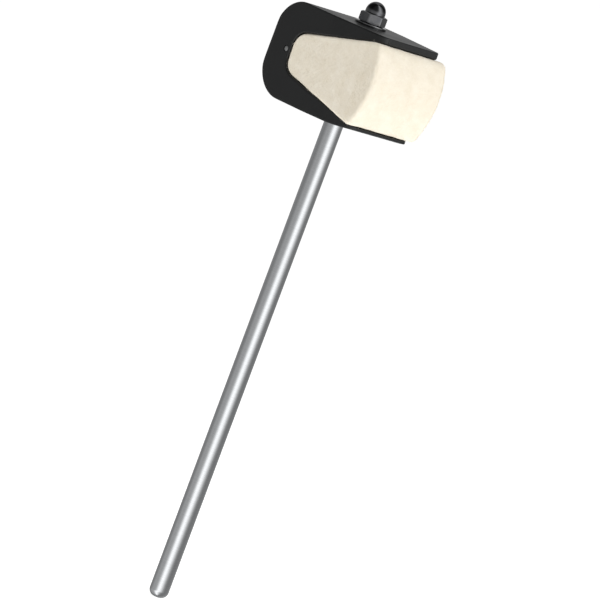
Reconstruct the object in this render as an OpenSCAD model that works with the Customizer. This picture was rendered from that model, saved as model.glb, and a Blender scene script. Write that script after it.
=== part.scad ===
// Bass drum beater: an 8 mm rod carrying a felt wedge in a moulded C-shaped hood, held by an M6 cap nut.
// Frame: Z runs up the rod, X is the head's width, and the felt strikes towards -Y. Millimetres.
// The origin is on the rod's axis, where the full-diameter wall starts above the rounded lower tip.

/* [Shaft] */
// rod diameter
shaft_d = 8; // [7.5:0.1:9.6]
// length of the full-diameter wall, from the rounded tip up to the shoulder
shaft_len = 200.2; // [160:0.1:240]
// radius of the rounded lower tip
tip_r = 3; // [0.5:0.1:3.5]
// stud thread size, M6
stud_d = 6; // [5:0.1:7]
// chamfer on the stud's upper end
stud_chamfer = 0.5; // [0.2:0.1:1]
// chamfer on the rod's shoulder
shoulder_c = 0.3; // [0.1:0.1:0.6]

/* [Hood] */
// width across the hood behind the shaft
hood_w = 39.5; // [34:0.5:48]
// how far each side of the arms draws in by their front edge
arm_taper = 3.95; // [0:0.05:6]
// height from the underside to the top
hood_h = 39.9; // [34:0.1:48]
// reach of the arms in front of the shaft axis
hood_front = 27.7; // [23:0.1:33]
// reach of the spine behind the shaft axis
hood_back = 30.9; // [27:0.1:37]
// radius of the upper corner at the back, seen from the side
top_corner_r = 13; // [6:0.5:16]
// radius of the lower corner at the back, seen from the side
low_corner_r = 15; // [6:0.5:18]
// thickness of the arms at their front edge
arm_tip_t = 2.7; // [2:0.1:4]
// thickness of the spine behind the felt
spine_t = 13.2; // [11:0.1:18]
// radius of the arms' front corners, seen from above
front_corner_r = 4; // [1:0.5:4]
// radius of the spine's vertical edges
spine_edge_r = 1.2; // [0.5:0.1:3]
// rise of the lower arm's underside towards its front edge
chin_rise = 1.7; // [0.5:0.1:2]
// length over which that underside rises
chin_len = 17; // [10:0.5:20]

/* [Felt] */
// slope of the felt's upper and lower faces, in degrees
felt_slope = 11.7; // [8:0.1:14]
// radius of the felt's rear corners
felt_corner_r = 6.8; // [2:0.1:8]
// how far the crowned face stands in front of the arms at mid height
felt_proud = 5.6; // [3:0.1:8]
// radius of the crowned striking face
crown_r = 34; // [30:1:80]
// height of the crown's foremost line above the hood's middle
crown_up = 1.6; // [0:0.1:4]
// how far the felt's sides lie inside the hood's
felt_inset = 0.15; // [0:0.05:1]
// radius of the felt's front vertical edges
felt_edge_r = 1.5; // [0.5:0.1:4]
// tongue that reaches into the spine: width
tongue_w = 24; // [16:1:30]
// tongue height
tongue_h = 8; // [6:0.5:11]
// tongue length behind the felt's rear face
tongue_len = 7; // [5:0.5:9]

/* [Clamping parts] */
// cross pin diameter
pin_d = 2.4; // [1.6:0.1:3]
// distance of the cross pin behind the felt's rear face
pin_in = 2.5; // [2:0.1:4.5]
// depth of the pin's ends below the hood's sides
pin_sunk = 0.1; // [0.05:0.05:0.5]
// wall of the spacer sleeve
sleeve_wall = 1.42; // [1:0.02:2.5]
// thickness of each arm left under the sleeve's seat
arm_seat_t = 7.3; // [6:0.1:9]
// washer outer diameter
washer_d = 13; // [11:0.1:14]
// washer thickness
washer_t = 1; // [0.8:0.1:1.6]
// nut size across flats
nut_af = 10; // [9:0.1:11]
// height of the nut's hexagon
nut_hex_h = 4; // [3:0.1:6]
// wall of the nut's dome around the thread
dome_wall = 1.05; // [0.7:0.05:1.5]
// height of the straight wall under the dome
dome_neck = 0.95; // [0.5:0.05:2]
// thread engagement of the stud in the nut
thread_in = 5.5; // [4:0.1:6.2]
// turn of the hexagon from flats-forward, in degrees
nut_turn = 56; // [0:1:60]

/* [Clearances] */
// gap between faces that rest on each other
rest_gap = 0.03; // [0.01:0.01:0.1]
// radial clearance of the head's bores on the stud
run_gap = 0.08; // [0.02:0.01:0.1]
// radial clearance of the thread in the nut
thread_gap = 0.05; // [0.02:0.01:0.1]
// radial clearance of the washers' holes on the stud
washer_gap = 0.2; // [0.1:0.05:0.4]
// clearance between felt and hood
felt_gap = 0.12; // [0.05:0.01:0.4]
// radial clearance around the cross pin
pin_gap = 0.03; // [0.01:0.01:0.1]
// free height above the stud inside the nut
blind_gap = 0.5; // [0.3:0.1:1]

/* [Hidden] */
$fn = 96;
e = 1;
shaft_r = shaft_d / 2;
stud_r = stud_d / 2;
seat_z = shaft_len + rest_gap;
hood_z = seat_z + washer_t + rest_gap;
mid_z = hood_z + hood_h / 2;
top_washer_z = hood_z + hood_h + rest_gap;
nut_z = top_washer_z + washer_t + rest_gap;
stud_top = nut_z + thread_in;
slope_tan = tan(felt_slope);
hood_front_w = hood_w - 2 * arm_taper;
felt_w = hood_w - 2 * felt_inset;
felt_mouth_h = hood_h - 2 * arm_tip_t;
felt_back = hood_back - spine_t;
pin_back = felt_back + pin_in;
sleeve_span = hood_h - 2 * arm_seat_t;
sleeve_hole = stud_d + 2 * run_gap;
sleeve_d = sleeve_hole + 2 * sleeve_wall;
washer_hole = stud_d + 2 * washer_gap;
dome_d = stud_d + 2 * thread_gap + 2 * dome_wall;
nut_bore_depth = thread_in + blind_gap;
dome_z = nut_hex_h + dome_neck;
chin_r = (chin_len * chin_len + chin_rise * chin_rise) / (2 * chin_rise);

// Turns a flat drawing whose first axis is Y and second axis is Z into a slab centred on X.
module across_x(width) {
    translate([-width / 2, 0, 0])
        rotate([90, 0, 90])
            linear_extrude(height = width)
                children();
}

function unit(v) = v / norm(v);
function to_last(points, i) = unit(points[(i + len(points) - 1) % len(points)] - points[i]);
function to_next(points, i) = unit(points[(i + 1) % len(points)] - points[i]);
function half_angle(points, i) = acos(to_last(points, i) * to_next(points, i)) / 2;

// Convex outline with a radius for each corner; 0 leaves a corner sharp. Each arc is 3 percent larger than
// a tangent one between the same two ends, so it meets its sides at a small angle instead of grazing them.
module rounded_2d(points, radii) {
    setbacks = [for (i = [0:len(points) - 1]) radii[i] / tan(half_angle(points, i))];
    polygon([for (i = [0:len(points) - 1])
        for (way = radii[i] > 0 ? [to_last(points, i), to_next(points, i)] : [[0, 0]])
            points[i] + way * setbacks[i]]);
    for (i = [0:len(points) - 1])
        if (radii[i] > 0) {
            arc_r = radii[i] * 1.03;
            half_chord = setbacks[i] * sin(half_angle(points, i));
            inward = unit(to_last(points, i) + to_next(points, i));
            depth = setbacks[i] * cos(half_angle(points, i)) + sqrt(arc_r * arc_r - half_chord * half_chord);
            translate(points[i] + inward * depth)
                circle(r = arc_r);
        }
}

// Points of the same kind of outline for small radii, with each corner drawn as a few short flats.
function corner_points(p, last, next, r, steps) =
    let (half = acos(last * next) / 2, turn = 180 - 2 * half, s = r / tan(half),
         centre = p + unit(last + next) * (r / sin(half)),
         from = (p + last * s - centre) / r, to = (p + next * s - centre) / r)
    [for (k = [0:steps]) centre + r / sin(turn) * (sin(turn * (1 - k / steps)) * from + sin(turn * k / steps) * to)];
function eased(points, radii, steps = 6) =
    [for (i = [0:len(points) - 1])
        each radii[i] > 0 ? corner_points(points[i], to_last(points, i), to_next(points, i), radii[i], steps)
                          : [points[i]]];

// Side outline of the felt wedge about mid height, grown by "grow". It runs from y_front to its rear corners.
module wedge_2d(grow, y_front) {
    rear = felt_back + grow;
    half_mouth = felt_mouth_h / 2 + grow / cos(felt_slope);
    half_front = half_mouth - (y_front + hood_front) * slope_tan;
    half_rear = half_mouth - (rear + hood_front) * slope_tan;
    r = felt_corner_r + grow;
    rounded_2d([[y_front, -half_front], [rear, -half_rear], [rear, half_rear], [y_front, half_front]],
               [0, r, r, 0]);
}

// Side outline of the hood before the felt's space is taken out.
module hood_side_2d() {
    difference() {
        rounded_2d([[-hood_front, 0], [hood_back, 0], [hood_back, hood_h], [-hood_front, hood_h]],
                   [0, low_corner_r, top_corner_r, 0]);
        // the lower arm's underside rises towards the front on a large radius
        difference() {
            translate([-hood_front - e, -e])
                square([chin_len + e, chin_rise + 2 * e]);
            translate([-hood_front + chin_len, chin_r - 0.02])
                circle(r = chin_r, $fn = 360);
        }
    }
}

// Outline of the hood from above: straight sides behind the shaft, arms tapering to rounded front corners.
module hood_plan_2d() {
    half_w = hood_w / 2;
    half_front = hood_front_w / 2;
    polygon(eased([[-half_front, -hood_front], [half_front, -hood_front], [half_w, 0], [half_w, hood_back],
                   [-half_w, hood_back], [-half_w, 0]],
                  [front_corner_r, front_corner_r, 0, spine_edge_r, spine_edge_r, 0]));
}

// Outline of the felt from above, with rounded front edges.
module felt_plan_2d() {
    half_w = felt_w / 2;
    front = -hood_front - felt_proud;
    rear = felt_back + tongue_len;
    polygon(eased([[-half_w, front], [half_w, front], [half_w, rear], [-half_w, rear]],
                  [felt_edge_r, felt_edge_r, 0, 0]));
}

// Plain ring: outer diameter, hole diameter, height.
module ring(outer, hole, height) {
    difference() {
        cylinder(d = outer, h = height);
        translate([0, 0, -e])
            cylinder(d = hole, h = height + 2 * e);
    }
}

module beater_shaft() {
    c = stud_chamfer;
    color([0.82, 0.83, 0.84])
        rotate_extrude() {
            // rounded tip, kept to one side of the axis
            intersection() {
                union() {
                    translate([shaft_r - tip_r, 0])
                        circle(r = tip_r);
                    translate([0, -tip_r])
                        square([shaft_r - tip_r, 2 * tip_r]);
                }
                translate([0, -tip_r])
                    square([shaft_r, tip_r]);
            }
            polygon([[0, 0], [shaft_r, 0], [shaft_r, shaft_len - shoulder_c], [shaft_r - shoulder_c, shaft_len],
                     [stud_r, shaft_len], [stud_r, stud_top - c], [stud_r - c, stud_top], [0, stud_top]]);
        }
}

module seat_washer() {
    color([0.7, 0.71, 0.72])
        translate([0, 0, seat_z])
            ring(washer_d, washer_hole, washer_t);
}

module hood() {
    color([0.07, 0.07, 0.07])
        difference() {
            intersection() {
                translate([0, 0, hood_z])
                    across_x(hood_w + 2 * e)
                        hood_side_2d();
                translate([0, 0, hood_z - e])
                    linear_extrude(height = hood_h + 2 * e)
                        hood_plan_2d();
            }
            // space for the felt
            translate([0, 0, mid_z])
                across_x(hood_w + 4 * e)
                    wedge_2d(felt_gap, -hood_front - 2 * e);
            // slot for the felt's tongue
            translate([-tongue_w / 2 - felt_gap, felt_back - e, mid_z - tongue_h / 2 - felt_gap])
                cube([tongue_w + 2 * felt_gap, tongue_len + e + 2 * felt_gap, tongue_h + 2 * felt_gap]);
            // hole for the stud through both arms
            translate([0, 0, hood_z - e])
                cylinder(r = stud_r + run_gap, h = hood_h + 2 * e);
            // seats for the spacer sleeve
            translate([0, 0, mid_z - sleeve_span / 2])
                cylinder(r = sleeve_d / 2 + felt_gap, h = sleeve_span);
            // hole for the cross pin
            translate([-hood_w / 2 - e, pin_back, mid_z])
                rotate([0, 90, 0])
                    cylinder(r = pin_d / 2 + pin_gap, h = hood_w + 2 * e);
        }
}

module felt_block() {
    front = -hood_front - felt_proud;
    color([0.93, 0.9, 0.82])
        difference() {
            union() {
                intersection() {
                    translate([0, 0, mid_z])
                        across_x(felt_w)
                            intersection() {
                                wedge_2d(0, front - e);
                                translate([front + crown_r, crown_up])
                                    circle(r = crown_r, $fn = 360);
                            }
                    translate([0, 0, hood_z - e])
                        linear_extrude(height = hood_h + 2 * e)
                            felt_plan_2d();
                }
                translate([-tongue_w / 2, felt_back - e, mid_z - tongue_h / 2])
                    cube([tongue_w, tongue_len + e, tongue_h]);
            }
            translate([0, 0, hood_z - e])
                cylinder(r = sleeve_d / 2 + felt_gap, h = hood_h + 2 * e);
            translate([-tongue_w / 2 - e, pin_back, mid_z])
                rotate([0, 90, 0])
                    cylinder(r = pin_d / 2 + pin_gap, h = tongue_w + 2 * e);
        }
}

module spacer_sleeve() {
    color([0.6, 0.61, 0.62])
        translate([0, 0, mid_z - sleeve_span / 2 + rest_gap])
            ring(sleeve_d, sleeve_hole, sleeve_span - 2 * rest_gap);
}

module cross_pin() {
    color([0.75, 0.76, 0.77])
        translate([-hood_w / 2 + pin_sunk, pin_back, mid_z])
            rotate([0, 90, 0])
                cylinder(d = pin_d, h = hood_w - 2 * pin_sunk);
}

module flat_washer() {
    color([0.3, 0.3, 0.31])
        translate([0, 0, top_washer_z])
            ring(washer_d, washer_hole, washer_t);
}

module cap_nut() {
    af_r = nut_af / 2;
    corner_r = af_r / cos(30);
    dome_r = dome_d / 2;
    bore_r = stud_r + thread_gap;
    // height lost at the hexagon's corners to its turned 30 degree chamfer
    chamfer_h = (corner_r - af_r) * tan(30);
    color([0.2, 0.2, 0.21])
        translate([0, 0, nut_z])
            rotate([0, 0, nut_turn])
                difference() {
                    union() {
                        intersection() {
                            cylinder(r = corner_r, h = nut_hex_h, $fn = 6);
                            rotate_extrude()
                                polygon([[0, 0], [af_r, 0], [corner_r, chamfer_h],
                                         [corner_r, nut_hex_h - chamfer_h], [af_r, nut_hex_h], [0, nut_hex_h]]);
                        }
                        cylinder(r = dome_r, h = dome_z);
                        translate([0, 0, dome_z])
                            sphere(r = dome_r);
                    }
                    translate([0, 0, -e])
                        cylinder(r = bore_r, h = nut_bore_depth + e);
                }
}

beater_shaft();
seat_washer();
hood();
felt_block();
spacer_sleeve();
cross_pin();
flat_washer();
cap_nut();
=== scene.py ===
"""Bass drum beater: the visual model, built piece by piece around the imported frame.

A chrome-plated rod carries a black moulded hood that is open to the front. A wedge of pressed wool felt sits
in the hood and strikes towards -Y. A washer and a low cap nut close the rod's stud on top. Sizes in the
classes are millimetres; meshes are written in metres.
"""
import logging
import math
from dataclasses import dataclass, field
from enum import Enum
from typing import Any

import bpy
import numpy as np
from mathutils import Matrix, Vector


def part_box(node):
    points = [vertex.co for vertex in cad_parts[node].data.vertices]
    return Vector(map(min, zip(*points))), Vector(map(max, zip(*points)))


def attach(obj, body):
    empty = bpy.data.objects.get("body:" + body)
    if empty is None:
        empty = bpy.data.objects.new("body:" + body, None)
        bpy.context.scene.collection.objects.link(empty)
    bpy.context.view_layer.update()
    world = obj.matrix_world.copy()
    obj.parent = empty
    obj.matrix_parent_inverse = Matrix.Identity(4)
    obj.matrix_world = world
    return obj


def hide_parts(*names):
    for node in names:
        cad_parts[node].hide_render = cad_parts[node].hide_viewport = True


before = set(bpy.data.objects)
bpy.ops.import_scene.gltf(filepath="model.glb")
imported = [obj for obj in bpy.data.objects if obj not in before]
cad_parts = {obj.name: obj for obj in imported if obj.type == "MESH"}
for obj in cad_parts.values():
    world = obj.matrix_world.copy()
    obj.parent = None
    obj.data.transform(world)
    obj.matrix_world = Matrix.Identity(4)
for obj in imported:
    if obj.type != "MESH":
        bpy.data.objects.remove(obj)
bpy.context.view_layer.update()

MM = 0.001         # metres in a millimetre
SEED = 41          # every random field and draw starts from this number
NEAR_AXIS = 0.05   # a turned shape's first and last radius in millimetres, before a pole closes it
log = logging.getLogger("beater")


# ---------------------------------------------------------------------------------------------------------
# Mesh tools
# ---------------------------------------------------------------------------------------------------------

class Wrap(Enum):
    """How the rows of a grid end."""

    LOOP = "the last row joins the first"
    POLES = "the first and the last row each close on one point"
    CAPS = "the first and the last row are each closed with one flat face"


class Axis(Enum):
    """What a turned shape is turned about."""

    UPRIGHT = "the rod's own axis, Z"
    ACROSS = "the line across the head, X"


class Cut(Enum):
    """What a tool does to a piece; the values are the names that Blender gives to its booleans."""

    TAKE_AWAY = "DIFFERENCE"
    ADD = "UNION"


def grid_piece(name: str, grid: np.ndarray, wrap: Wrap, flip: bool = False) -> bpy.types.Object:
    """Makes a closed mesh from a grid of points whose columns run round the shape.

    Args:
        name: the piece's name.
        grid: points in millimetres, shaped (rows, columns, 3).
        wrap: how the rows end.
        flip: turns the faces over.

    Returns:
        The new object, at the origin, unturned and unscaled.
    """
    rows, cols = grid.shape[:2]
    points = grid.reshape(-1, 3)
    row_count = rows if wrap is Wrap.LOOP else rows - 1
    r, c = np.meshgrid(np.arange(row_count), np.arange(cols), indexing="ij")
    r2, c2 = (r + 1) % rows, (c + 1) % cols
    quads = np.stack([r * cols + c, r * cols + c2, r2 * cols + c2, r2 * cols + c], -1).reshape(-1, 4)
    faces = quads.tolist()
    first, last = np.arange(cols), (rows - 1) * cols + np.arange(cols)
    if wrap is Wrap.CAPS:
        faces += [first[::-1].tolist(), last.tolist()]
    if wrap is Wrap.POLES:
        points = np.vstack([points, grid[0].mean(0), grid[-1].mean(0)])
        low, high = rows * cols, rows * cols + 1
        faces += [[low, b, a] for a, b in zip(first.tolist(), np.roll(first, -1).tolist())]
        faces += [[high, a, b] for a, b in zip(last.tolist(), np.roll(last, -1).tolist())]
    if flip:
        faces = [f[::-1] for f in faces]
    mesh = bpy.data.meshes.new(name)
    mesh.from_pydata((points * MM).tolist(), [], faces)
    mesh.validate()
    piece = bpy.data.objects.new(name, mesh)
    bpy.context.scene.collection.objects.link(piece)
    return piece


def turned(name: str, profile: np.ndarray, wrap: Wrap, columns: int = 96, axis: Axis = Axis.UPRIGHT,
           centre: tuple[float, float, float] = (0.0, 0.0, 0.0)) -> bpy.types.Object:
    """Turns a profile about an axis: x = r cos a, y = r sin a, z = h, for angles a round the full circle.

    Args:
        name: the piece's name.
        profile: (radius, height) pairs in millimetres, from the low end up the outside.
        wrap: how the profile ends.
        columns: how many points go round.
        axis: what the profile is turned about.
        centre: where the profile's origin goes, in millimetres.

    Returns:
        The new object.
    """
    angle = np.linspace(0, 2 * np.pi, columns, endpoint=False)
    radius, height = profile[:, 0, None], profile[:, 1, None]
    x, y, z = radius * np.cos(angle), radius * np.sin(angle), height + 0 * angle
    grid = np.stack([x, y, z] if axis is Axis.UPRIGHT else [z, x, y], -1) + np.array(centre)
    return grid_piece(name, grid, wrap)


def arc(centre: tuple[float, float], radius: float, start: float, end: float, count: int) -> np.ndarray:
    """Points on a circle: centre + radius (cos a, sin a), for a from start to end in degrees."""
    a = np.radians(np.linspace(start, end, count))
    return np.stack([centre[0] + radius * np.cos(a), centre[1] + radius * np.sin(a)], -1)


def line(a: tuple[float, float], b: tuple[float, float], count: int, ease: float = 1.0) -> np.ndarray:
    """Points from a to b, closer together near a when ease is above 1."""
    t = np.linspace(0, 1, count)[:, None] ** ease
    return np.array(a) * (1 - t) + np.array(b) * t


def waves(points: np.ndarray, size: float, seed: int, count: int = 28) -> np.ndarray:
    """A smooth random field: a scaled sum of plane waves in random directions, 0.7 to 1.6 sizes long.

    Args:
        points: positions in millimetres, shaped (..., 3).
        size: the typical wavelength in millimetres.
        seed: picks the field.
        count: how many waves are added.

    Returns:
        Values mostly between -1 and 1, one for each point.
    """
    rng = np.random.default_rng(seed)
    way = rng.normal(size=(count, 3))
    way *= (2 * np.pi / (size * rng.uniform(0.7, 1.6, count)) / np.linalg.norm(way, axis=1))[:, None]
    return np.cos(points @ way.T + rng.uniform(0, 2 * np.pi, count)).sum(-1) * (1.6 / math.sqrt(count))


def finish_surface(piece: bpy.types.Object, sharp_degrees: float, weighted: bool = True) -> None:
    """Shades a piece smooth up to an angle.

    Args:
        piece: the piece.
        sharp_degrees: an edge that turns more than this stays sharp.
        weighted: lets the large faces set the normals beside small ones.
    """
    mesh = piece.data
    mesh.shade_smooth()
    mesh.set_sharp_from_angle(angle=math.radians(sharp_degrees))
    if weighted:
        piece.modifiers.new("weighted", "WEIGHTED_NORMAL").keep_sharp = True


def carve(piece: bpy.types.Object, tool: bpy.types.Object, kind: Cut = Cut.TAKE_AWAY) -> None:
    """Applies one exact boolean to a piece and removes the tool.

    Args:
        piece: the piece that changes.
        tool: the shape that is taken away or added.
        kind: which of the two.
    """
    cut = piece.modifiers.new("cut", "BOOLEAN")
    cut.operation, cut.solver, cut.object = kind.value, "EXACT", tool
    graph = bpy.context.evaluated_depsgraph_get()
    mesh = bpy.data.meshes.new_from_object(piece.evaluated_get(graph))
    old, tool_mesh = piece.data, tool.data
    piece.modifiers.clear()
    piece.data = mesh
    bpy.data.meshes.remove(old)
    bpy.data.objects.remove(tool)
    bpy.data.meshes.remove(tool_mesh)
    mesh.name = piece.name


def rod_tool(radius: float, low: float, high: float, axis: Axis = Axis.UPRIGHT,
             centre: tuple[float, float, float] = (0.0, 0.0, 0.0), columns: int = 64) -> bpy.types.Object:
    """A plain round tool for cutting a hole from low to high along an axis."""
    profile = np.array([[radius, low], [radius, high]])
    return turned("tool", profile, Wrap.CAPS, columns, axis, centre)


def block_tool(low: tuple[float, float, float], high: tuple[float, float, float]) -> bpy.types.Object:
    """A plain block, for cutting a slot or adding a tongue.

    Args:
        low: its lowest corner in millimetres.
        high: its highest corner in millimetres.

    Returns:
        The tool.
    """
    (x0, y0, z0), (x1, y1, z1) = low, high
    ring = np.array([[x0, y0], [x1, y0], [x1, y1], [x0, y1]])
    grid = np.stack([np.column_stack([ring, np.full(4, z)]) for z in (z0, z1)])
    return grid_piece("tool", grid, Wrap.CAPS)


# ---------------------------------------------------------------------------------------------------------
# Finishes
# ---------------------------------------------------------------------------------------------------------

def linear(hex_colour: str) -> tuple[float, float, float, float]:
    """Turns an sRGB hex colour such as "#F3EAD6" to linear red, green, blue and an alpha of 1."""
    parts = [int(hex_colour[i:i + 2], 16) / 255 for i in (1, 3, 5)]
    return tuple(p / 12.92 if p <= 0.04045 else ((p + 0.055) / 1.055) ** 2.4 for p in parts) + (1.0,)


def add_node(tree: bpy.types.NodeTree, kind: str,
             links: dict[str | int, bpy.types.NodeSocket] | None = None,
             values: dict[str | int, Any] | None = None,
             settings: dict[str, Any] | None = None) -> bpy.types.Node:
    """Adds one shader node.

    Args:
        tree: the node tree.
        kind: the node's type, without its "ShaderNode" prefix.
        links: input name or number to the output socket that feeds it.
        values: input name or number to a plain value.
        settings: attributes of the node itself.

    Returns:
        The new node.
    """
    node = tree.nodes.new("ShaderNode" + kind)
    for key, value in (settings or {}).items():
        setattr(node, key, value)
    for key, value in (values or {}).items():
        node.inputs[key].default_value = value
    for key, socket in (links or {}).items():
        tree.links.new(socket, node.inputs[key])
    return node


def per_mm(size_mm: float) -> float:
    """The Scale of a noise whose features are about size_mm across, on Object coordinates in metres."""
    return 1.0 / (size_mm * MM)


@dataclass(frozen=True)
class Surface:
    """A material in the making: its tree, its one shader, and the piece's own coordinates in metres."""

    tree: bpy.types.NodeTree
    shader: bpy.types.Node
    place: bpy.types.NodeSocket

    def feed(self, links: dict[str, bpy.types.NodeSocket], values: dict[str, float]) -> None:
        """Feeds the shader.

        Args:
            links: the shader's input to the output socket that feeds it.
            values: the shader's input to a plain number, the same all over the surface.
        """
        for key, socket in links.items():
            self.tree.links.new(socket, self.shader.inputs[key])
        for key, value in values.items():
            self.shader.inputs[key].default_value = value


@dataclass(frozen=True)
class Finish:
    """A surface finish. Each kind of finish fills in the nodes that lead to one Principled shader."""

    name: str

    def material(self) -> bpy.types.Material:
        """Builds the material the first time it is asked for.

        Returns:
            The material, the same one each time.
        """
        made = bpy.data.materials.get(self.name)
        if made:
            return made
        made = bpy.data.materials.new(self.name)
        made.use_nodes = True
        tree = made.node_tree
        tree.nodes.clear()
        shader = add_node(tree, "BsdfPrincipled")
        add_node(tree, "OutputMaterial", links={"Surface": shader.outputs["BSDF"]})
        self.dress(Surface(tree, shader, add_node(tree, "TexCoord").outputs["Object"]))
        return made

    def dress(self, surface: Surface) -> None:
        """Adds the nodes of this kind of finish.

        Args:
            surface: the material in the making.
        """
        raise NotImplementedError


@dataclass(frozen=True)
class ChromePlatedSteel(Finish):
    """Bright chrome over a ground steel rod: mirror-like, with faint grinding rings round the rod."""

    name: str = "chrome_plated_steel"
    tint: str = "#D6D8DA"
    ring_tint: str = "#CFD1D3"
    ring_mm: float = 0.35     # real grinding lines are some hundredths of a millimetre: coarser, to show
    polish_mm: float = 9.0
    relief_mm: float = 0.02

    def dress(self, surface: Surface) -> None:
        """Rings are a noise stretched sixteen times across the rod; a broad noise varies the polish.

        Args:
            surface: the material in the making.
        """
        tree, place = surface.tree, surface.place
        stretch = add_node(tree, "Mapping", links={"Vector": place}, values={"Scale": (0.06, 0.06, 1.0)})
        rings = add_node(tree, "TexNoise", links={"Vector": stretch.outputs[0]},
                         values={"Scale": per_mm(self.ring_mm), "Detail": 3.0, "Roughness": 0.6})
        cloud = add_node(tree, "TexNoise", links={"Vector": place},
                         values={"Scale": per_mm(self.polish_mm), "Detail": 2.0})
        rough = add_node(tree, "MapRange", links={"Value": cloud.outputs["Fac"]},
                         values={"From Min": 0.3, "From Max": 0.7, "To Min": 0.10, "To Max": 0.17})
        tone = add_node(tree, "MapRange", links={"Value": rings.outputs["Fac"]},
                        values={"From Min": 0.3, "From Max": 0.7, "To Min": 0.0, "To Max": 1.0})
        colour = add_node(tree, "Mix", links={"Factor": tone.outputs[0]},
                          values={6: linear(self.ring_tint), 7: linear(self.tint)},
                          settings={"data_type": "RGBA"})
        bump = add_node(tree, "Bump", links={"Height": rings.outputs["Fac"]},
                        values={"Strength": 0.05, "Distance": self.relief_mm * MM})
        surface.feed({"Base Color": colour.outputs[2], "Roughness": rough.outputs[0],
                      "Normal": bump.outputs[0]}, {"Metallic": 1.0})


@dataclass(frozen=True)
class ZincPlatedSteel(Finish):
    """Clear zinc plate on small steel parts: grey, softly mottled by its fine crystals."""

    name: str = "zinc_plated_steel"
    grey: str = "#A9ABAD"
    bright: str = "#D3D4D3"
    crystal_mm: float = 0.5
    relief_mm: float = 0.02

    def dress(self, surface: Surface) -> None:
        """One noise, the crystals, varies the colour, the polish and the height.

        Args:
            surface: the material in the making.
        """
        tree, place = surface.tree, surface.place
        grain = add_node(tree, "TexNoise", links={"Vector": place},
                         values={"Scale": per_mm(self.crystal_mm), "Detail": 4.0, "Roughness": 0.65})
        colour = add_node(tree, "Mix", links={"Factor": grain.outputs["Fac"]},
                          values={6: linear(self.grey), 7: linear(self.bright)},
                          settings={"data_type": "RGBA"})
        rough = add_node(tree, "MapRange", links={"Value": grain.outputs["Fac"]},
                         values={"To Min": 0.22, "To Max": 0.42})
        bump = add_node(tree, "Bump", links={"Height": grain.outputs["Fac"]},
                        values={"Strength": 0.15, "Distance": self.relief_mm * MM})
        surface.feed({"Base Color": colour.outputs[2], "Roughness": rough.outputs[0],
                      "Normal": bump.outputs[0]}, {"Metallic": 1.0})


@dataclass(frozen=True)
class BlackNickelPlate(Finish):
    """Black nickel over polished steel: a dark grey mirror, clouded where handling has rubbed it."""

    name: str = "black_nickel_plate"
    dark: str = "#646568"
    worn: str = "#7E7D7C"
    cloud_mm: float = 2.5
    haze_mm: float = 0.25
    relief_mm: float = 0.02

    def dress(self, surface: Surface) -> None:
        """A broad noise clouds the plate; a fine one is the polishing haze.

        Args:
            surface: the material in the making.
        """
        tree, place = surface.tree, surface.place
        cloud = add_node(tree, "TexNoise", links={"Vector": place},
                         values={"Scale": per_mm(self.cloud_mm), "Detail": 3.0})
        haze = add_node(tree, "TexNoise", links={"Vector": place},
                        values={"Scale": per_mm(self.haze_mm), "Detail": 3.0})
        much = add_node(tree, "MapRange", links={"Value": cloud.outputs["Fac"]},
                        values={"From Min": 0.35, "From Max": 0.75, "To Min": 0.0, "To Max": 0.5})
        colour = add_node(tree, "Mix", links={"Factor": much.outputs[0]},
                          values={6: linear(self.dark), 7: linear(self.worn)},
                          settings={"data_type": "RGBA"})
        rough = add_node(tree, "MapRange", links={"Value": haze.outputs["Fac"]},
                         values={"To Min": 0.06, "To Max": 0.16})
        bump = add_node(tree, "Bump", links={"Height": haze.outputs["Fac"]},
                        values={"Strength": 0.06, "Distance": self.relief_mm * MM})
        surface.feed({"Base Color": colour.outputs[2], "Roughness": rough.outputs[0],
                      "Normal": bump.outputs[0]}, {"Metallic": 1.0})


@dataclass(frozen=True)
class SatinMouldedABS(Finish):
    """Black ABS from a finely spark-eroded mould: near black, with a soft sheen on faces seen at a slant."""

    name: str = "satin_moulded_abs"
    base: str = "#111213"
    flow_tint: str = "#181919"
    grain_mm: float = 0.16    # the mould's pits are some hundredths of a millimetre: drawn coarser, to show
    flow_mm: float = 11.0
    relief_mm: float = 0.02

    def dress(self, surface: Surface) -> None:
        """The mould's grain is a fine noise; a broad noise is the faint flow and handling marks.

        Args:
            surface: the material in the making.
        """
        tree, place = surface.tree, surface.place
        grain = add_node(tree, "TexNoise", links={"Vector": place},
                         values={"Scale": per_mm(self.grain_mm), "Detail": 2.0, "Roughness": 0.7})
        flow = add_node(tree, "TexNoise", links={"Vector": place},
                        values={"Scale": per_mm(self.flow_mm), "Detail": 4.0, "Roughness": 0.55})
        colour = add_node(tree, "Mix", links={"Factor": flow.outputs["Fac"]},
                          values={6: linear(self.base), 7: linear(self.flow_tint)},
                          settings={"data_type": "RGBA"})
        rough = add_node(tree, "MapRange", links={"Value": flow.outputs["Fac"]},
                         values={"From Min": 0.3, "From Max": 0.7, "To Min": 0.34, "To Max": 0.44})
        bump = add_node(tree, "Bump", links={"Height": grain.outputs["Fac"]},
                        values={"Strength": 0.18, "Distance": self.relief_mm * MM})
        surface.feed({"Base Color": colour.outputs[2], "Roughness": rough.outputs[0],
                      "Normal": bump.outputs[0]}, {"IOR": 1.54})


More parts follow.
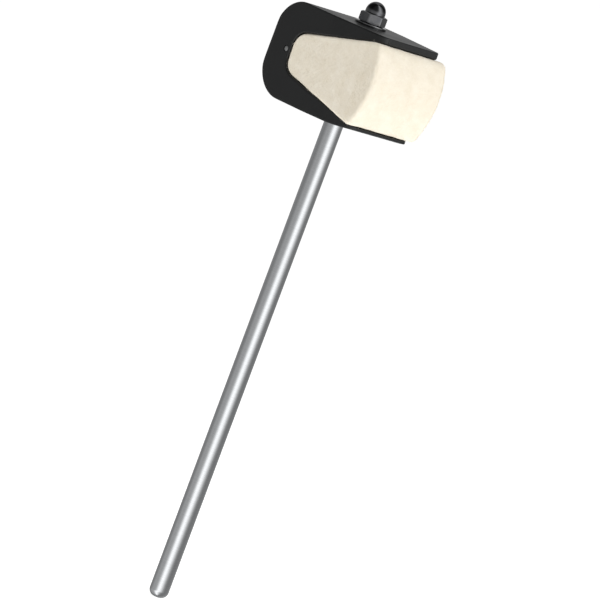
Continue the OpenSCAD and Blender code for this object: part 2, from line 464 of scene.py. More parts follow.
@dataclass(frozen=True)
class PressedWoolFelt(Finish):
    """Natural wool pressed into a dense block: matt cream, mottled, with matted fibres across the surface."""

    name: str = "pressed_wool_felt"
    light: str = "#F6EFE0"
    deep: str = "#E9DFCB"
    mottle_mm: float = 5.0
    fibre_mm: float = 0.28    # single wool fibres are about 0.03 mm: bundles of them are drawn, to show
    relief_mm: float = 0.12
    # how each of the three fibre layers is turned, in radians, and stretched
    layers: tuple[tuple[tuple[float, ...], tuple[float, ...]], ...] = (
        ((0.5, 0.3, 0.2), (1.0, 0.22, 1.0)),
        ((-0.4, 0.9, 0.7), (0.22, 1.0, 1.0)),
        ((0.8, -0.5, 1.1), (1.0, 1.0, 0.22)))

    def dress(self, surface: Surface) -> None:
        """Three crossed, stretched noises are the matted fibres, with painted shade in their low parts; a
        broad noise is the wool's mottling.

        Args:
            surface: the material in the making.
        """
        tree, place = surface.tree, surface.place
        mottle = add_node(tree, "TexNoise", links={"Vector": place},
                          values={"Scale": per_mm(self.mottle_mm), "Detail": 5.0, "Roughness": 0.6})
        heights = []
        for turn, stretch in self.layers:
            lay = add_node(tree, "Mapping", links={"Vector": place},
                           values={"Rotation": turn, "Scale": stretch})
            fibres = add_node(tree, "TexNoise", links={"Vector": lay.outputs[0]},
                              values={"Scale": per_mm(self.fibre_mm), "Detail": 3.0,
                                      "Roughness": 0.7, "Distortion": 0.6})
            heights.append(fibres.outputs["Fac"])
        pair = add_node(tree, "Math", links={0: heights[0], 1: heights[1]}, settings={"operation": "MAXIMUM"})
        mat = add_node(tree, "Math", links={0: pair.outputs[0], 1: heights[2]},
                       settings={"operation": "MAXIMUM"})
        # painted shade: the deep colour is laid where the fibres' height is low, in the gaps between them
        fibre_gap_shade = add_node(tree, "MapRange", links={"Value": mat.outputs[0]},
                         values={"From Min": 0.5, "From Max": 0.72, "To Min": 0.5, "To Max": 0.0})
        spread = add_node(tree, "MapRange", links={"Value": mottle.outputs["Fac"]},
                          values={"From Min": 0.35, "From Max": 0.7, "To Min": 0.0, "To Max": 0.55})
        # painted shade between the fibres, plus the wool's own mottling
        much = add_node(tree, "Math", links={0: fibre_gap_shade.outputs[0], 1: spread.outputs[0]},
                        settings={"operation": "ADD", "use_clamp": True})
        colour = add_node(tree, "Mix", links={"Factor": much.outputs[0]},
                          values={6: linear(self.light), 7: linear(self.deep)},
                          settings={"data_type": "RGBA"})
        bump = add_node(tree, "Bump", links={"Height": mat.outputs[0]},
                        values={"Strength": 0.6, "Distance": self.relief_mm * MM})
        surface.feed({"Base Color": colour.outputs[2], "Normal": bump.outputs[0]},
                     {"Roughness": 0.95, "Sheen Weight": 0.15, "Sheen Roughness": 0.5, "IOR": 1.54,
                      "Specular IOR Level": 0.2})


@dataclass(frozen=True)
class WoolFibre(Finish):
    """Single wool fibres standing off the felt: pale cream and slightly varied from fibre to fibre."""

    name: str = "wool_fibre"
    cream: str = "#EFE5D0"
    pale: str = "#FBF6EA"
    vary_mm: float = 1.2

    def dress(self, surface: Surface) -> None:
        """A noise about a millimetre across varies the colour between neighbouring fibres.

        Args:
            surface: the material in the making.
        """
        tree = surface.tree
        vary = add_node(tree, "TexNoise", links={"Vector": surface.place},
                        values={"Scale": per_mm(self.vary_mm), "Detail": 1.0})
        colour = add_node(tree, "Mix", links={"Factor": vary.outputs["Fac"]},
                          values={6: linear(self.cream), 7: linear(self.pale)},
                          settings={"data_type": "RGBA"})
        surface.feed({"Base Color": colour.outputs[2]}, {"Roughness": 0.8, "Specular IOR Level": 0.2})


# ---------------------------------------------------------------------------------------------------------
# Sub-assemblies
# ---------------------------------------------------------------------------------------------------------

def mount_piece(piece: bpy.types.Object, finish: Finish, body: str, node: str | None) -> None:
    """Dresses a piece, lets it ride on its body and hides the CAD node that it stands for.

    Args:
        piece: the finished piece.
        finish: what its surface is.
        body: the CAD body that carries it.
        node: the CAD node that it replaces, or None for a piece that adds detail.
    """
    piece.data.materials.clear()
    piece.data.materials.append(finish.material())
    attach(piece, body)
    if node:
        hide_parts(node)
    log.info("%s: %d faces, rides on %s", piece.name, len(piece.data.polygons), body)


@dataclass
class Span:
    """A node's box in millimetres, read from the frame."""

    node: str
    low: np.ndarray = field(init=False)
    high: np.ndarray = field(init=False)

    def __post_init__(self) -> None:
        """Reads the box."""
        low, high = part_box(self.node)
        self.low, self.high = np.array(low) / MM, np.array(high) / MM


@dataclass
class Rod:
    """The plated rod: rounded tip, plain wall, shoulder, and a stud with a rolled M6 thread at its top."""

    radius: float = 4.0
    tip_radius: float = 3.0
    wall_from: float = 0.4
    shoulder: float = 0.3
    shoulder_z: float = 200.2
    stud_radius: float = 3.0
    thread_pitch: float = 1.0
    thread_depth: float = 0.5
    thread_length: float = 12.0
    thread_ease: float = 0.02     # how far the crests lie inside the stud
    rows_per_turn: int = 16
    run_out: float = 1.5
    end_chamfer: float = 0.55
    columns: int = 96
    finish: Finish = ChromePlatedSteel()

    def plain_profile(self) -> np.ndarray:
        """The outline of the plain part, from the middle of the tip.

        Returns:
            (radius, height) pairs: the tip's small flat, a quarter circle, the wall, a chamfer, the shoulder.
        """
        flat = self.radius - self.tip_radius
        tip = arc((flat, 0.0), self.tip_radius, -90, 0, 24)
        wall = line((self.radius, self.wall_from), (self.radius, self.shoulder_z - self.shoulder), 40)
        neck = np.array([[self.radius - self.shoulder, self.shoulder_z],
                         [self.stud_radius, self.shoulder_z + 0.01]])
        face = line((NEAR_AXIS, -self.tip_radius), (flat - 0.1, -self.tip_radius), 4)
        return np.vstack([face, tip, wall, neck])

    def thread(self, low: float, top: float) -> tuple[np.ndarray, np.ndarray]:
        """The rolled thread.

        Args:
            low: where it starts, in millimetres.
            top: the stud's end, in millimetres.

        Returns:
            Radii and heights, shaped (rows, columns). The radius is the stud's less the thread depth times a
            triangle wave of (height / pitch - angle / full turn) with flattened crests and roots. The wave
            fades in over the run-out, and a chamfer draws in the last rows.
        """
        angle = np.linspace(0, 2 * np.pi, self.columns, endpoint=False)
        z = np.arange(low, top - 0.4, self.thread_pitch / self.rows_per_turn)[:, None] + 0 * angle
        phase = (z / self.thread_pitch - angle / (2 * np.pi)) % 1.0
        groove = np.clip(1.5 * (1 - np.abs(2 * phase - 1)) - 0.2, 0, 1)
        fade = np.clip((z - low) / self.run_out, 0, 1)
        end = np.clip((top - 0.1 - z) / 0.6, 0, 1)
        radius = self.stud_radius - self.thread_ease - self.thread_depth * groove * fade
        return np.minimum(radius, self.stud_radius - self.end_chamfer + self.end_chamfer * end), z

    def build(self) -> bpy.types.Object:
        """Builds the rod: each row is a circle, except on the thread.

        Returns:
            The piece.
        """
        top = Span("beater_shaft").high[2]
        low = top - self.thread_length
        angle = np.linspace(0, 2 * np.pi, self.columns, endpoint=False)
        stud = line((self.stud_radius, self.shoulder_z + 0.5), (self.stud_radius, low - 0.1), 14)
        plain = np.vstack([self.plain_profile(), stud])
        cap = np.array([[self.stud_radius - 0.6, top - 0.12], [self.stud_radius - 0.8, top],
                        [NEAR_AXIS, top]])
        thread, z = self.thread(low, top)
        radius = np.vstack([np.repeat(plain[:, :1], self.columns, 1), thread,
                            np.repeat(cap[:, :1], self.columns, 1)])
        height = np.vstack([np.repeat(plain[:, 1:], self.columns, 1), z,
                            np.repeat(cap[:, 1:], self.columns, 1)])
        grid = np.stack([radius * np.cos(angle), radius * np.sin(angle), height], -1)
        piece = grid_piece("plated_rod", grid, Wrap.POLES)
        finish_surface(piece, 40)
        mount_piece(piece, self.finish, "shaft", "beater_shaft")
        return piece


@dataclass
class Washer:
    """A stamped washer: its upper edges are rolled over by the press, its lower edges are crisp."""

    name: str
    node: str
    body: str
    slot: str
    finish: Finish
    hole: float = 3.2
    rolled: float = 0.22
    crisp: float = 0.06
    inset: float = 0.6     # how far in from a rim the rows of a flat face start

    def build(self) -> bpy.types.Object:
        """Builds the washer as a closed ring: the profile is a rectangle with four corner arcs.

        Returns:
            The piece.
        """
        span = Span(self.node)
        z0, z1 = span.low[2], span.high[2]
        outer = (span.high[0] - span.low[0]) / 2
        r, c = self.rolled, self.crisp
        profile = np.vstack([
            arc((outer - c, z0 + c), c, -90, 0, 3), arc((outer - r, z1 - r), r, 0, 90, 7),
            line((outer - r - self.inset, z1), (self.hole + r + 0.4, z1), 4),
            arc((self.hole + r, z1 - r), r, 90, 180, 7), arc((self.hole + c, z0 + c), c, 180, 270, 3),
            line((self.hole + self.inset, z0), (outer - self.inset, z0), 4)])
        piece = turned(self.name, profile, Wrap.LOOP, 96)
        finish_surface(piece, 40)
        mount_piece(piece, self.finish, self.body, self.node)
        return piece


@dataclass
class CapNut:
    """The low cap nut: a hexagon with turned chamfers under a polished dome, with a blind hole below."""

    flats: float = 10.0
    hex_height: float = 4.0
    neck: float = 0.95
    turn: float = 56.0
    bore: float = 3.05
    bore_depth: float = 6.0
    countersink: float = 0.4
    corner_ease: float = 0.1
    corner_blend: float = 14.0    # how sharply a corner is cut off, per millimetre
    turned_edge: float = 0.12     # the chamfers end this far inside the flats
    chamfer: float = 30.0
    fillet: float = 0.35
    side_columns: int = 28
    finish: Finish = BlackNickelPlate()

    def hexagon(self) -> np.ndarray:
        """The hexagon's outline.

        Returns:
            A radius for each column: half the flats over the cosine of the angle from the nearest flat, cut
            off at the corners by a smooth minimum, -log(exp(-a k) + exp(-b k)) / k.
        """
        angle = np.linspace(0, 2 * np.pi, 6 * self.side_columns, endpoint=False)
        from_flat = (angle + np.pi / 6) % (np.pi / 3) - np.pi / 6
        half = self.flats / 2
        sharp = half / np.cos(from_flat)
        limit = half / math.cos(math.pi / 6) - self.corner_ease
        k = self.corner_blend
        return -np.log(np.exp(-sharp * k) + np.exp(-limit * k)) / k

    def build(self) -> bpy.types.Object:
        """Builds the nut row by row from the blind hole's end, down, round the hexagon and up over the dome.

        Returns:
            The piece. Each chamfer is a cone that cuts the hexagon: it rises by the chamfer's slope times the
            distance out from the turned edge.
        """
        span = Span("cap_nut")
        base, top = span.low[2], span.high[2]
        dome = top - base - self.hex_height - self.neck
        hexagon = self.hexagon()
        edge = self.flats / 2 - self.turned_edge
        cut = (hexagon - edge) * math.tan(math.radians(self.chamfer))
        flat = np.ones(len(hexagon))
        depth, mouth = self.bore_depth, self.bore + self.countersink
        rows: list[tuple[np.ndarray, np.ndarray]] = [
            (NEAR_AXIS * flat, depth * flat), (self.bore * flat, (depth - 0.3) * flat)]
        rows += [(self.bore * flat, z * flat) for z in np.linspace(depth - 0.8, 0.5, 8)]
        rows += [(mouth * flat, 0.0 * flat)]
        rows += [(mouth * (1 - t) * flat + edge * t * flat, 0 * flat) for t in (0.1, 0.5, 0.9, 1.0)]
        rows += [(edge * (1 - t) + hexagon * t, cut * t) for t in (0.15, 0.5, 0.85, 1.0)]
        rows += [(hexagon, cut + (self.hex_height - 2 * cut) * t) for t in np.linspace(0.04, 0.96, 9)]
        rows += [(edge * t + hexagon * (1 - t), self.hex_height - cut * (1 - t))
                 for t in (0.0, 0.15, 0.5, 0.85, 1.0)]
        inner = dome + self.fillet
        rows += [(edge * (1 - t) * flat + inner * t * flat, self.hex_height * flat)
                 for t in (0.15, 0.6, 1.0)]
        corner = arc((inner, self.hex_height + self.fillet), self.fillet, 270, 180, 6)[1:]
        over = arc((0.0, self.hex_height + self.neck), dome, 0, 88.5, 26)
        rows += [(p[0] * flat, p[1] * flat) for p in np.vstack([corner, over])]
        radius = np.stack([out for out, _ in rows])
        height = np.stack([up for _, up in rows]) + base
        angle = np.linspace(0, 2 * np.pi, len(hexagon), endpoint=False) + math.radians(self.turn)
        grid = np.stack([radius * np.cos(angle), radius * np.sin(angle), height], -1)
        piece = grid_piece("cap_nut_low", grid, Wrap.POLES)
        finish_surface(piece, 24)
        mount_piece(piece, self.finish, "nut", "cap_nut")
        return piece


@dataclass
class Hood:
    """The moulded body: a C seen from the side, carried across the width, with eased edges and its holes."""

    top_corner: float = 13.0
    low_corner: float = 15.0
    chin_rise: float = 1.7
    chin_length: float = 17.0
    arm_tip: float = 2.7
    arm_taper: float = 3.95
    spine: float = 13.2
    slope: float = 11.7
    felt_corner: float = 6.8
    clearance: float = 0.12
    front_corner: float = 4.0
    spine_edge: float = 1.2
    edge: float = 0.55
    pin_in: float = 2.5
    pin_hole: float = 1.24
    stud_hole: float = 3.08
    seat_radius: float = 4.62
    seat_thickness: float = 7.3
    tongue: tuple[float, float, float] = (24.0, 7.0, 8.0)    # width, length and height
    arm_points: int = 46
    corner_points: int = 22
    wall_points: int = 14
    tip_points: int = 5
    finish: Finish = SatinMouldedABS()
    span: Span = field(init=False)

    def __post_init__(self) -> None:
        """Reads the hood's box."""
        self.span = Span("hood")
        self.tip_edge = self.edge * 0.6
        self.front, self.back = -self.span.low[1], self.span.high[1]
        self.height = self.span.high[2] - self.span.low[2]
        self.half_width = self.span.high[0]

    def half_at(self, y: np.ndarray) -> np.ndarray:
        """Half the width at a distance along the head.

        Args:
            y: places along Y in millimetres.

        Returns:
            Straight behind the rod, drawn in evenly along the arms, and less a corner arc at each end.
        """
        reach = np.clip(-y / self.front, 0, 1)
        half = self.half_width - self.arm_taper * reach
        f, s = self.front_corner, self.spine_edge
        into_front = np.clip((-self.front + f - y) / f, 0, 1)
        into_back = np.clip((y - self.back + s) / s, 0, 1)
        return half - f * (1 - np.sqrt(1 - into_front ** 2)) - s * (1 - np.sqrt(1 - into_back ** 2))

    def outlines(self) -> tuple[np.ndarray, np.ndarray]:
        """The outer and the inner side outline, point for point, from the lower arm's tip to the upper one's.

        Returns:
            Two arrays of (y, z) above the underside: each is line, corner arc, line, corner arc, line. Points
            on the arms lie closer together near the tips, where the width changes fastest.
        """
        tilt = math.radians(self.slope)
        arm, corner, wall = self.arm_points, self.corner_points, self.wall_points
        closer = 1.5
        tip = -self.front + self.tip_edge
        mid = self.height / 2
        low, top = self.low_corner, self.top_corner
        lower = line((tip, 0.0), (self.back - low, 0.0), arm, closer)
        rise = np.clip((-self.front + self.chin_length - lower[:, 0]) / self.chin_length, 0, 1)
        lower[:, 1] = self.chin_rise * rise ** 2
        outer = np.vstack([
            lower[:-1], arc((self.back - low, low), low, -90, 0, corner)[:-1],
            line((self.back, low), (self.back, self.height - top), wall)[:-1],
            arc((self.back - top, self.height - top), top, 0, 90, corner)[:-1],
            line((tip, self.height), (self.back - top, self.height), arm, closer)[::-1]])
        rear = self.back - self.spine + self.clearance
        r = self.felt_corner + self.clearance
        mouth = mid - self.arm_tip + self.clearance / math.cos(tilt)
        cy = rear - r
        cz = mouth - (cy + self.front) * math.tan(tilt) - r / math.cos(tilt)
        ty, tz = cy + r * math.sin(tilt), cz + r * math.cos(tilt)
        at_tip = mouth - (tip + self.front) * math.tan(tilt)
        inner = np.vstack([
            line((tip, mid - at_tip), (ty, mid - tz), arm, closer)[:-1],
            arc((cy, mid - cz), r, -90 + self.slope, 0, corner)[:-1],
            line((rear, mid - cz), (rear, mid + cz), wall)[:-1],
            arc((cy, mid + cz), r, 0, 90 - self.slope, corner)[:-1],
            line((tip, mid + at_tip), (ty, mid + tz), arm, closer)[::-1]])
        return outer, inner

    def shell(self) -> bpy.types.Object:
        """The C before its holes: a rounded rectangle between the two outlines, carried from tip to tip.

        Returns:
            The shell. Round each section run the outer face, a corner arc, the side, a corner arc, the inner
            face and back. The last sections at each tip shrink along a quarter circle to round the end.
        """
        outer, inner = self.outlines()
        count, ends = len(outer), self.tip_points
        station = np.concatenate([np.zeros(ends, int), np.arange(count), np.full(ends, count - 1)])
        bend = np.concatenate([np.linspace(np.pi / 2, 0, ends, endpoint=False), np.zeros(count),
                               np.linspace(0, np.pi / 2, ends + 1)[1:]])
        shrink = self.tip_edge * (1 - np.cos(bend))
        forward = self.tip_edge * np.sin(bend)
        o, i = outer[station], inner[station]
        thick = np.linalg.norm(i - o, axis=1)
        way = (i - o) / thick[:, None]
        e = np.minimum(self.edge, 0.4 * (thick - 2 * self.tip_edge))
        quarter = np.linspace(0, np.pi / 2, 6)
        across = np.linspace(-1, 1, 31)
        down = np.linspace(0, 1, 13)[1:-1]
        # share of the half width, inset from the side in edge radii, depth in edge radii, share of thickness
        face = [(a, 1.0, 0.0, 0.0) for a in across]
        corner = [(1.0, 1 - math.sin(q), 1 - math.cos(q), 0.0) for q in quarter[1:]]
        side = [(1.0, 0.0, 1.0 - 2 * d, d) for d in down]
        corner2 = [(1.0, 1 - math.cos(q), -(1 - math.sin(q)), 1.0) for q in quarter]
        half_loop = face + corner + side + corner2[:-1]
        loop = np.array(half_loop + [(-f, s, -d, 1.0 - t) for f, s, d, t in half_loop])
        factor, inset, depth_e, share = (loop[None, :, k] for k in range(4))
        depth = shrink[:, None] + depth_e * e[:, None] + share * (thick - 2 * shrink)[:, None]
        y = o[:, None, 0] + way[:, None, 0] * depth - forward[:, None]
        z = o[:, None, 1] + way[:, None, 1] * depth
        half = self.half_at(y + forward[:, None]) - shrink[:, None]
        x = factor * (half - inset * e[:, None])
        grid = np.stack([x, y, z + self.span.low[2]], -1)
        return grid_piece("moulded_hood", grid, Wrap.CAPS)

    def build(self) -> bpy.types.Object:
        """Builds the hood and cuts the stud's hole, the sleeve's seats, the tongue's slot and the pin's hole.

        Returns:
            The piece.
        """
        piece = self.shell()
        z0, z1 = self.span.low[2], self.span.high[2]
        mid = (z0 + z1) / 2
        rear = self.back - self.spine
        carve(piece, rod_tool(self.stud_hole, z0 - 2, z1 + 2))
        carve(piece, rod_tool(self.seat_radius, z0 + self.seat_thickness, z1 - self.seat_thickness))
        width, length, height = self.tongue
        c = self.clearance
        carve(piece, block_tool((-width / 2 - c, rear - 1, mid - height / 2 - c),
                                (width / 2 + c, rear + length + 2 * c, mid + height / 2 + c)))
        reach = self.half_width + 3
        carve(piece, rod_tool(self.pin_hole, -reach, reach, Axis.ACROSS, (0.0, rear + self.pin_in, mid), 48))
        finish_surface(piece, 28)
        mount_piece(piece, self.finish, "head", "hood")
        return piece


@dataclass
class FeltWedge:
    """The pressed felt: a wedge with a crowned face and soft edges, a bore for the sleeve, and its nap."""

    crown_radius: float = 34.0
    crown_up: float = 1.6
    mouth: float = 34.5
    slope: float = 11.7
    arms_front: float = 27.7
    back: float = 17.7
    rear_corner: float = 6.8
    soften: float = 1.0
    soften_upper_lip: float = 2.1
    near_round: float = 1.35
    far_round: float = 3.0
    bore: float = 4.65
    pin_hole: float = 1.25
    pin_in: float = 2.5
    tongue: tuple[float, float, float] = (24.0, 7.0, 8.0)    # width, length and height
    front_from: float = -20.0     # the edges of the striking end lie in front of this
    heart: float = -6.0           # the middle of the wedge, along Y
    outline_points: int = 420
    fine_points: int = 2400
    lump: tuple[float, float] = (7.0, 0.16)      # size and depth of the slow unevenness
    ripple: tuple[float, float] = (1.7, 0.06)    # and of the quick one
    fibres: int = 7500
    fibre_length: tuple[float, float] = (0.4, 1.5)
    fibre_radii: tuple[float, ...] = (0.020, 0.018, 0.014, 0.005)    # from root to tip
    finish: Finish = PressedWoolFelt()
    fibre_finish: Finish = WoolFibre()

    def __post_init__(self) -> None:
        """Reads the felt's and the hood's boxes."""
        span, hood = Span("felt_block"), Span("hood")
        self.half_width = span.high[0]
        self.front = span.low[1]
        self.mid = (hood.low[2] + hood.high[2]) / 2

    def side_outline(self, count: int) -> np.ndarray:
        """The wedge from the side, about mid height, evenly spaced and softened.

        Args:
            count: how many points go round.

        Returns:
            (y, z) points, counter-clockwise from the lower lip: slope, rear arc, rear, rear arc, slope and
            crown. Corners are softened by a running mean with a bell-shaped weight along the outline.
        """
        tilt = math.radians(self.slope)
        r = self.rear_corner
        cy = self.back - r
        half = self.mouth / 2 - (cy + self.arms_front) * math.tan(tilt)
        cz = half - r / math.cos(tilt)
        centre = np.array([self.front + self.crown_radius, self.crown_up])

        def lip(sign: float) -> np.ndarray:
            """Where the crown's circle meets a sloping face.

            Args:
                sign: +1 for the upper face, -1 for the lower one.

            Returns:
                The (y, z) point: the forward root of |start + t way - centre| = crown radius.
            """
            way = np.array([-math.cos(tilt), sign * math.sin(tilt)])
            start = np.array([0.0, sign * (self.mouth / 2 - self.arms_front * math.tan(tilt))])
            gap = start - centre
            b, c = gap @ way, gap @ gap - self.crown_radius ** 2
            return start + way * (-b + math.sqrt(b * b - c))

        low, high = lip(-1.0), lip(1.0)
        a0 = math.degrees(math.atan2(*(high - centre)[::-1])) % 360
        a1 = math.degrees(math.atan2(*(low - centre)[::-1])) % 360
        raw = np.vstack([
            line(tuple(low), (cy + r * math.sin(tilt), -(cz + r * math.cos(tilt))), 300),
            arc((cy, -cz), r, -90 + self.slope, 0, 60)[1:], line((self.back, -cz), (self.back, cz), 60)[1:],
            arc((cy, cz), r, 0, 90 - self.slope, 60)[1:],
            line((cy + r * math.sin(tilt), cz + r * math.cos(tilt)), tuple(high), 300)[1:],
            arc(tuple(centre), self.crown_radius, a0, a1, 300)[1:-1]])
        step = np.linalg.norm(np.diff(np.vstack([raw, raw[:1]]), axis=0), axis=1)
        along = np.concatenate([[0], np.cumsum(step)])
        total = self.fine_points
        fine = np.linspace(0, along[-1], total, endpoint=False)
        closed = np.vstack([raw, raw[:1]])
        even = np.stack([np.interp(fine, along, closed[:, k]) for k in (0, 1)], -1)
        reach = np.minimum(fine, along[-1] - fine)
        softer = []
        for width in (self.soften, self.soften_upper_lip):
            bell = np.exp(-0.5 * (reach / width) ** 2)
            spectrum = np.fft.rfft(bell / bell.sum())[:, None]
            softer.append(np.fft.irfft(np.fft.rfft(even, axis=0) * spectrum, n=total, axis=0))
        # the upper lip is the softer one: 1 there, 0 elsewhere
        at_lip = np.clip((self.front_from - even[:, :1]) / 5.0, 0, 1) * np.clip(even[:, 1:] / 8.0, 0, 1)
        soft = softer[0] * (1 - at_lip) + softer[1] * at_lip
        pick = np.linspace(0, total, count, endpoint=False)
        ring = np.arange(total + 1)
        wrapped = np.vstack([soft, soft[:1]])
        return np.stack([np.interp(pick, ring, wrapped[:, k]) for k in (0, 1)], -1)

    def skin(self) -> np.ndarray:
        """The felt's whole surface as one grid.

        Returns:
            Points in millimetres. Each row is the side outline: it grows from the centre of one side to its
            edge, turns the edge on a quarter circle, crosses the width and shrinks again on the other side.
            All of it is then pulled towards the heart by a little random unevenness.
        """
        outline = self.side_outline(self.outline_points)
        ahead, behind = np.roll(outline, -1, 0), np.roll(outline, 1, 0)
        run = ahead - behind
        outward = np.stack([run[:, 1], -run[:, 0]], -1) / np.linalg.norm(run, axis=1)[:, None]
        centre = np.array([self.heart, 0.0])
        in_front = np.clip((self.front_from - outline[:, 0]) / 8.0, 0, 1)
        in_front = in_front ** 2 * (3 - 2 * in_front)
        near = np.full(len(outline), self.near_round)
        far = self.near_round + (self.far_round - self.near_round) * in_front
        turn = np.radians(np.linspace(0, 90, 9))[1:]

        def side(r: np.ndarray) -> list[np.ndarray]:
            """One side of the wedge.

            Args:
                r: how far its edge is rounded at each point of the outline.

            Returns:
                Rows of (x, y, z), from the side's centre out to where it meets the width.
            """
            rim = outline - outward * r[:, None]
            full = np.full(len(outline), self.half_width)
            rows = [np.column_stack([full, centre + (rim - centre) * g]) for g in np.linspace(0.012, 1, 36)]
            for a in turn:
                bent = rim + outward * (r * math.sin(a))[:, None]
                rows.append(np.column_stack([full - r + r * math.cos(a), bent]))
            return rows

        far_side, near_side = side(far), side(near)
        share = np.linspace(0, 1, 62)[1:-1]
        start, stop = self.half_width - far, near - self.half_width
        across = [np.column_stack([start * (1 - t) + stop * t, outline]) for t in share]
        mirror = np.array([-1.0, 1.0, 1.0])
        grid = np.stack(far_side + across + [row * mirror for row in near_side[::-1]])
        (lump_size, lump_depth), (ripple_size, ripple_depth) = self.lump, self.ripple
        push = 0.5 + 0.5 * waves(grid, lump_size, SEED)
        small = 0.5 + 0.5 * waves(grid, ripple_size, SEED + 1)
        depth = lump_depth * np.clip(push, 0, 1) + ripple_depth * np.clip(small, 0, 1)
        toward = np.array([0.0, self.heart, 0.0]) - grid
        toward /= np.linalg.norm(toward, axis=-1, keepdims=True)
        grid = grid + toward * depth[..., None]
        grid[..., 2] += self.mid
        return grid

    def nap(self, grid: np.ndarray) -> bpy.types.Object:
        """Loose fibres on the open faces.

        Args:
            grid: the skin that they stand on.

        Returns:
            One mesh of thin tapered three-sided fibres. A fibre leaves the skin at a low angle and curls: its
            path is start + length (t way + t squared curl).
        """
        rng = np.random.default_rng(SEED + 2)
        du, dv = np.roll(grid, -1, 1) - np.roll(grid, 1, 1), np.gradient(grid, axis=0)
        normal = np.cross(dv, du)
        area = np.linalg.norm(normal, axis=-1)
        normal = normal / np.maximum(area, 1e-9)[..., None]
        outside = np.sign((normal * (grid - grid.mean((0, 1)))).sum(-1).mean())
        normal = normal * outside
        sideways = np.abs(normal[..., 0])
        open_face = np.maximum(-normal[..., 1], sideways) > 0.75
        weight = (area * open_face).ravel()
        # four times as many along the front's upright edges, where they stand out against what is behind
        weight = weight * (1 + 3.0 * (sideways > 0.1).ravel() * (grid[..., 1].ravel() < -24))
        pick = rng.choice(weight.size, self.fibres, p=weight / weight.sum())
        start, up = grid.reshape(-1, 3)[pick], normal.reshape(-1, 3)[pick]
        way = rng.normal(size=(self.fibres, 3))
        way -= (way * up).sum(1, keepdims=True) * up
        way /= np.linalg.norm(way, axis=1, keepdims=True)
        lift = rng.uniform(0.05, 0.6, (self.fibres, 1))
        way = way * (1 - 0.5 * lift) + up * lift
        curl = np.clip(rng.normal(size=(self.fibres, 3)), -1.5, 1.5) * 0.42
        length = rng.uniform(*self.fibre_length, (self.fibres, 1))
        rings, root = len(self.fibre_radii), 0.03
        t = np.linspace(0, 1, rings)[None, :, None]
        path = (start[:, None] - up[:, None] * root
                + length[:, None] * (t * way[:, None] + t * t * curl[:, None]))
        across = np.cross(way, up)
        across /= np.linalg.norm(across, axis=1, keepdims=True)
        upright = np.cross(across, way)
        upright /= np.linalg.norm(upright, axis=1, keepdims=True)
        thin = np.array(self.fibre_radii)[None, :, None, None]
        spoke = np.radians([90, 210, 330])
        offset = (np.cos(spoke)[None, None, :, None] * across[:, None, None]
                  + np.sin(spoke)[None, None, :, None] * upright[:, None, None]) * thin
        points = (path[:, :, None] + offset).reshape(-1, 3)
        base = np.array([[0, 1, 4, 3], [1, 2, 5, 4], [2, 0, 3, 5]])
        quads = np.vstack([base + 3 * k for k in range(rings - 1)])
        shift = (np.arange(self.fibres) * 3 * rings)[:, None, None]
        last = 3 * (rings - 1)
        faces = (quads[None] + shift).reshape(-1, 4).tolist()
        faces += (np.array([[2, 1, 0]])[None] + shift).reshape(-1, 3).tolist()
        faces += (np.array([[last, last + 1, last + 2]])[None] + shift).reshape(-1, 3).tolist()
        mesh = bpy.data.meshes.new("felt_nap")
        mesh.from_pydata((points * MM).tolist(), [], faces)
        mesh.validate()
        piece = bpy.data.objects.new("felt_nap", mesh)
        bpy.context.scene.collection.objects.link(piece)
        mesh.shade_smooth()
        return piece

    def build(self) -> bpy.types.Object:
        """Builds the felt: adds its hidden tongue, cuts the sleeve's bore and the pin's hole, sets the nap.

        Returns:
            The wedge. The nap is a piece of its own.
        """
        grid = self.skin()
        piece = grid_piece("felt_wedge", grid, Wrap.POLES, flip=True)
        width, length, height = self.tongue
        carve(piece, block_tool((-width / 2, self.back - 3, self.mid - height / 2),
                                (width / 2, self.back + length, self.mid + height / 2)), Cut.ADD)
        carve(piece, rod_tool(self.bore, self.mid - 25, self.mid + 25))
        centre = (0.0, self.back + self.pin_in, self.mid)
        carve(piece, rod_tool(self.pin_hole, -width, width, Axis.ACROSS, centre, 32))
        finish_surface(piece, 60, weighted=False)
        mount_piece(piece, self.finish, "head", "felt_block")
        nap = self.nap(grid)
        mount_piece(nap, self.fibre_finish, "head", None)
        return piece


@dataclass
class HeadFittings:
    """The steel parts inside the head: the spacer sleeve and the cross pin."""

    sleeve_hole: float = 3.08
    broken_edge: float = 0.15
    pin_chamfer: float = 0.25
    finish: Finish = ZincPlatedSteel()

    def sleeve(self) -> bpy.types.Object:
        """A cut length of tube: a rectangle with broken edges, turned into a ring.

        Returns:
            The piece.
        """
        span = Span("spacer_sleeve")
        z0, z1, outer, hole, b = span.low[2], span.high[2], span.high[0], self.sleeve_hole, self.broken_edge
        profile = np.array([[outer - b, z0], [outer, z0 + b], [outer, z1 - b], [outer - b, z1],
                            [hole + b, z1], [hole, z1 - b], [hole, z0 + b], [hole + b, z0]])
        piece = turned("clamp_sleeve", profile, Wrap.LOOP, 72)
        finish_surface(piece, 30)
        mount_piece(piece, self.finish, "head", "spacer_sleeve")
        return piece

    def pin(self) -> bpy.types.Object:
        """A dowel pin: a plain wall, and at each side a rounded chamfer and a slightly domed end.

        Returns:
            The piece.
        """
        span = Span("cross_pin")
        x1, radius = span.high[0], (span.high[2] - span.low[2]) / 2
        centre = (0.0, float(span.low[1] + span.high[1]) / 2, float(span.low[2] + span.high[2]) / 2)
        c = self.pin_chamfer
        end = np.array([[NEAR_AXIS, x1], [radius * 0.45, x1 - 0.02], [radius - c, x1 - 0.06],
                        [radius - 0.08, x1 - c * 0.55], [radius, x1 - c * 1.1]])
        wall = line((radius, x1 - 0.6), (radius, -x1 + 0.6), 12)
        profile = np.vstack([end, wall, end[::-1] * np.array([1, -1])])[::-1]
        piece = turned("retaining_pin", profile, Wrap.POLES, 48, Axis.ACROSS, centre)
        finish_surface(piece, 50)
        mount_piece(piece, self.finish, "head", "cross_pin")
        return piece

    def build(self) -> None:
        """Builds both parts."""
        self.sleeve()
        self.pin()


